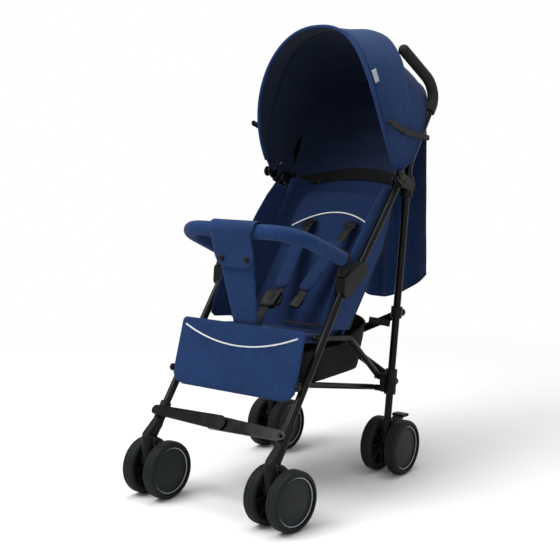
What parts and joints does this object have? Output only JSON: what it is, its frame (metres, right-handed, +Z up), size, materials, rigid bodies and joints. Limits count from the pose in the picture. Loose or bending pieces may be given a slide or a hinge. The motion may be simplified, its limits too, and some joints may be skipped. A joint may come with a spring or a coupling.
{
  "type": "baby stroller",
  "caption": "Umbrella-fold baby stroller with a hooded padded seat, U-shaped bumper bar, legrest, basket, swivelling twin front wheels and crossed folding brace.",
  "frame": {"origin": "floor, at the middle of the stroller's width and length", "axes": "+X to the rider's left, -Y the way the stroller faces, +Z up"},
  "size_m": [0.4836, 0.831, 1.144],
  "materials": {
    "black_tube": "gloss black enamel",
    "black_plastic": "moulded, satin",
    "gloss_plastic": "moulded, gloss",
    "grip_foam": "closed-cell foam",
    "tyre": "moulded tread",
    "hub_plastic": "moulded disc",
    "blue_cloth": "woven, matt",
    "black_cloth": "woven, matt"
  },
  "bodies": {
    "left_side": {"left_handle_tube": "black_tube", "left_handle_grip": "grip_foam", "left_side_joint": "black_plastic", "left_rear_bracket": "black_plastic", "left_rear_housing": "black_plastic", "canopy_rear": "blue_cloth", "basket": "black_cloth"},
    "right_side": {"right_handle_tube": "black_tube", "right_handle_grip": "grip_foam", "right_side_joint": "black_plastic", "right_rear_bracket": "black_plastic", "right_rear_housing": "black_plastic"},
    "front_cross": {"front_cross_bar": "black_tube"},
    "rear_cross": {"rear_cross_bar": "black_tube"},
    "left_collar": {"left_cross_collar": "black_plastic"},
    "right_collar": {"right_cross_collar": "black_plastic"},
    "left_front_leg": {"left_front_leg": "black_tube", "left_leg_block": "black_plastic", "left_caster_socket": "black_plastic", "left_side_panel": "blue_cloth", "seat_pad": "blue_cloth"},
    "left_seat_rail": {"left_seat_rail": "black_tube"},
    "left_lower_link": {"left_lower_link": "black_tube"},
    "left_footrest": {"left_footrest": "gloss_plastic"},
    "left_caster": {"left_caster_fork": "black_plastic"},
    "left_front_outer_wheel": {"left_front_outer_tyre": "tyre", "left_front_outer_hub": "hub_plastic"},
    "left_rear_outer_wheel": {"left_rear_outer_tyre": "tyre", "left_rear_outer_hub": "hub_plastic"},
    "left_front_inner_wheel": {"left_front_inner_tyre": "tyre", "left_front_inner_hub": "hub_plastic"},
    "left_rear_inner_wheel": {"left_rear_inner_tyre": "tyre", "left_rear_inner_hub": "hub_plastic"},
    "left_brake": {"left_brake_pedal": "black_plastic"},
    "left_stay_rear": {"left_stay_rear": "black_plastic"},
    "left_stay_front": {"left_stay_front": "black_plastic"},
    "right_front_leg": {"right_front_leg": "black_tube", "right_leg_block": "black_plastic", "right_caster_socket": "black_plastic", "right_side_panel": "blue_cloth"},
    "right_seat_rail": {"right_seat_rail": "black_tube"},
    "right_lower_link": {"right_lower_link": "black_tube"},
    "right_footrest": {"right_footrest": "gloss_plastic"},
    "right_caster": {"right_caster_fork": "black_plastic"},
    "right_front_outer_wheel": {"right_front_outer_tyre": "tyre", "right_front_outer_hub": "hub_plastic"},
    "right_rear_outer_wheel": {"right_rear_outer_tyre": "tyre", "right_rear_outer_hub": "hub_plastic"},
    "right_front_inner_wheel": {"right_front_inner_tyre": "tyre", "right_front_inner_hub": "hub_plastic"},
    "right_rear_inner_wheel": {"right_rear_inner_tyre": "tyre", "right_rear_inner_hub": "hub_plastic"},
    "right_brake": {"right_brake_pedal": "black_plastic"},
    "right_stay_rear": {"right_stay_rear": "black_plastic"},
    "right_stay_front": {"right_stay_front": "black_plastic"},
    "canopy_front": {"canopy_front": "blue_cloth"},
    "backrest": {"backrest_pad": "blue_cloth"},
    "legrest": {"legrest": "blue_cloth", "legrest_knobs": "black_plastic"},
    "bumper": {"bumper_bar": "blue_cloth"}
  },
  "joints": [
    {"name": "fold", "type": "hinge", "parent": "left_side", "child": "front_cross", "pos_m": [0.183, 0.14931, 0.238], "axis": [0, 0.9905, -0.1374], "range_deg": [0, 42], "deforming": ["seat_pad", "backrest_pad", "legrest", "legrest_knobs", "bumper_bar", "basket", "canopy_front", "canopy_rear", "left_side_panel", "right_side_panel"]},
    {"name": "cross_middle", "type": "hinge", "parent": "front_cross", "child": "rear_cross", "pos_m": [0, 0.16159, 0.3265], "axis": [0, 0.9905, -0.1374], "range_deg": [-84.5, 0]},
    {"name": "cross_right_low", "type": "hinge", "parent": "rear_cross", "child": "right_side", "pos_m": [-0.183, 0.14931, 0.238], "axis": [0, 0.9905, -0.1374], "range_deg": [0, 42.5]},
    {"name": "left_collar_turn", "type": "hinge", "parent": "rear_cross", "child": "left_collar", "pos_m": [0.183, 0.17387, 0.415], "axis": [0, 0.9905, -0.1374], "range_deg": [0, 42.5]},
    {"name": "right_collar_turn", "type": "hinge", "parent": "front_cross", "child": "right_collar", "pos_m": [-0.183, 0.17387, 0.415], "axis": [0, 0.9905, -0.1374], "range_deg": [-42.5, 0]},
    {"name": "left_leg_swing", "type": "hinge", "parent": "left_side", "child": "left_front_leg", "pos_m": [0.183, 0.179, 0.75], "axis": [1, 0, 0], "range_deg": [0, 28.5]},
    {"name": "left_rail_swing", "type": "hinge", "parent": "left_side", "child": "left_seat_rail", "pos_m": [0.158, 0.131, 0.251], "axis": [1, 0, 0], "range_deg": [-60.5, 0]},
    {"name": "left_link_swing", "type": "hinge", "parent": "left_side", "child": "left_lower_link", "pos_m": [0.14, 0.133, 0.221], "axis": [1, 0, 0], "range_deg": [-76.5, 0]},
    {"name": "left_footrest_turn", "type": "hinge", "parent": "left_front_leg", "child": "left_footrest", "pos_m": [0.183, -0.31993, 0.198], "axis": [0, -0.7919, 0.6106], "range_deg": [-62.5, 0]},
    {"name": "left_caster_swivel", "type": "hinge", "parent": "left_front_leg", "child": "left_caster", "pos_m": [0.183, -0.369, 0.13], "axis": [0, 0, 1], "continuous": true},
    {"name": "left_front_outer_spin", "type": "hinge", "parent": "left_caster", "child": "left_front_outer_wheel", "pos_m": [0.2217, -0.34515, 0.07], "axis": [0.9903, -0.1392, 0], "continuous": true},
    {"name": "left_rear_outer_spin", "type": "hinge", "parent": "left_side", "child": "left_rear_outer_wheel", "pos_m": [0.218, 0.151, 0.07], "axis": [1, 0, 0], "continuous": true},
    {"name": "left_front_inner_spin", "type": "hinge", "parent": "left_caster", "child": "left_front_inner_wheel", "pos_m": [0.15238, -0.33541, 0.07], "axis": [0.9903, -0.1392, 0], "continuous": true},
    {"name": "left_rear_inner_spin", "type": "hinge", "parent": "left_side", "child": "left_rear_inner_wheel", "pos_m": [0.148, 0.151, 0.07], "axis": [1, 0, 0], "continuous": true},
    {"name": "left_brake_press", "type": "hinge", "parent": "left_side", "child": "left_brake", "pos_m": [0.183, 0.165, 0.122], "axis": [-1, 0, 0], "range_deg": [0, 16]},
    {"name": "left_stay_rear_turn", "type": "hinge", "parent": "left_side", "child": "left_stay_rear", "pos_m": [0.2054, 0.279, 0.858], "axis": [-1, 0, 0], "range_deg": [0, 47.64]},
    {"name": "left_stay_front_turn", "type": "hinge", "parent": "left_stay_rear", "child": "left_stay_front", "pos_m": [0.2094, 0.155, 0.874], "axis": [1, 0, 0], "range_deg": [0, 114.97]},
    {"name": "right_leg_swing", "type": "hinge", "parent": "right_side", "child": "right_front_leg", "pos_m": [-0.183, 0.179, 0.75], "axis": [1, 0, 0], "range_deg": [0, 28.5]},
    {"name": "right_rail_swing", "type": "hinge", "parent": "right_side", "child": "right_seat_rail", "pos_m": [-0.158, 0.131, 0.251], "axis": [1, 0, 0], "range_deg": [-60.5, 0]},
    {"name": "right_link_swing", "type": "hinge", "parent": "right_side", "child": "right_lower_link", "pos_m": [-0.14, 0.133, 0.221], "axis": [1, 0, 0], "range_deg": [-76.5, 0]},
    {"name": "right_footrest_turn", "type": "hinge", "parent": "right_front_leg", "child": "right_footrest", "pos_m": [-0.183, -0.31993, 0.198], "axis": [0, -0.7919, 0.6106], "range_deg": [0, 62.5]},
    {"name": "right_caster_swivel", "type": "hinge", "parent": "right_front_leg", "child": "right_caster", "pos_m": [-0.183, -0.369, 0.13], "axis": [0, 0, 1], "continuous": true},
    {"name": "right_front_outer_spin", "type": "hinge", "parent": "right_caster", "child": "right_front_outer_wheel", "pos_m": [-0.21643, -0.33821, 0.07], "axis": [0.9986, -0.0523, 0], "continuous": true},
    {"name": "right_rear_outer_spin", "type": "hinge", "parent": "right_side", "child": "right_rear_outer_wheel", "pos_m": [-0.218, 0.151, 0.07], "axis": [1, 0, 0], "continuous": true},
    {"name": "right_front_inner_spin", "type": "hinge", "parent": "right_caster", "child": "right_front_inner_wheel", "pos_m": [-0.14653, -0.34187, 0.07], "axis": [0.9986, -0.0523, 0], "continuous": true},
    {"name": "right_rear_inner_spin", "type": "hinge", "parent": "right_side", "child": "right_rear_inner_wheel", "pos_m": [-0.148, 0.151, 0.07], "axis": [1, 0, 0], "continuous": true},
    {"name": "right_brake_press", "type": "hinge", "parent": "right_side", "child": "right_brake", "pos_m": [-0.183, 0.165, 0.122], "axis": [-1, 0, 0], "range_deg": [0, 16]},
    {"name": "right_stay_rear_turn", "type": "hinge", "parent": "right_side", "child": "right_stay_rear", "pos_m": [-0.2054, 0.279, 0.858], "axis": [-1, 0, 0], "range_deg": [0, 47.64]},
    {"name": "right_stay_front_turn", "type": "hinge", "parent": "right_stay_rear", "child": "right_stay_front", "pos_m": [-0.2094, 0.155, 0.874], "axis": [1, 0, 0], "range_deg": [0, 114.97]},
    {"name": "canopy_fold", "type": "hinge", "parent": "left_side", "child": "canopy_front", "pos_m": [0, 0.146, 0.768], "axis": [-1, 0, 0], "range_deg": [0, 30]},
    {"name": "recline", "type": "hinge", "parent": "left_side", "child": "backrest", "pos_m": [0, -0.0219, 0.367], "axis": [-1, 0, 0], "range_deg": [0, 20]},
    {"name": "legrest_lift", "type": "hinge", "parent": "left_front_leg", "child": "legrest", "pos_m": [0, -0.228, 0.418], "axis": [-1, 0, 0], "range_deg": [0, 40]},
    {"name": "bumper_gate", "type": "hinge", "parent": "left_front_leg", "child": "bumper", "pos_m": [0.183, -0.075, 0.574], "axis": [0, 0.3827, 0.9239], "range_deg": [0, 95]}
  ],
  "couplings": [
    {"joint": "cross_middle", "follows": "fold", "ratio": -2},
    {"joint": "cross_right_low", "follows": "fold", "ratio": 1},
    {"joint": "left_collar_turn", "follows": "fold", "ratio": 1},
    {"joint": "right_collar_turn", "follows": "fold", "ratio": -1},
    {"joint": "left_leg_swing", "follows": "fold", "ratio": 0.66667},
    {"joint": "left_rail_swing", "follows": "fold", "ratio": -1.4286},
    {"joint": "left_link_swing", "follows": "fold", "ratio": -1.8095},
    {"joint": "left_footrest_turn", "follows": "fold", "ratio": -1.4762},
    {"joint": "left_stay_rear_turn", "follows": "canopy_fold", "ratio": 1.5712},
    {"joint": "left_stay_front_turn", "follows": "canopy_fold", "ratio": 3.8155},
    {"joint": "right_leg_swing", "follows": "fold", "ratio": 0.66667},
    {"joint": "right_rail_swing", "follows": "fold", "ratio": -1.4286},
    {"joint": "right_link_swing", "follows": "fold", "ratio": -1.8095},
    {"joint": "right_footrest_turn", "follows": "fold", "ratio": 1.4762},
    {"joint": "right_stay_rear_turn", "follows": "canopy_fold", "ratio": 1.5712},
    {"joint": "right_stay_front_turn", "follows": "canopy_fold", "ratio": 3.8155}
  ]
}
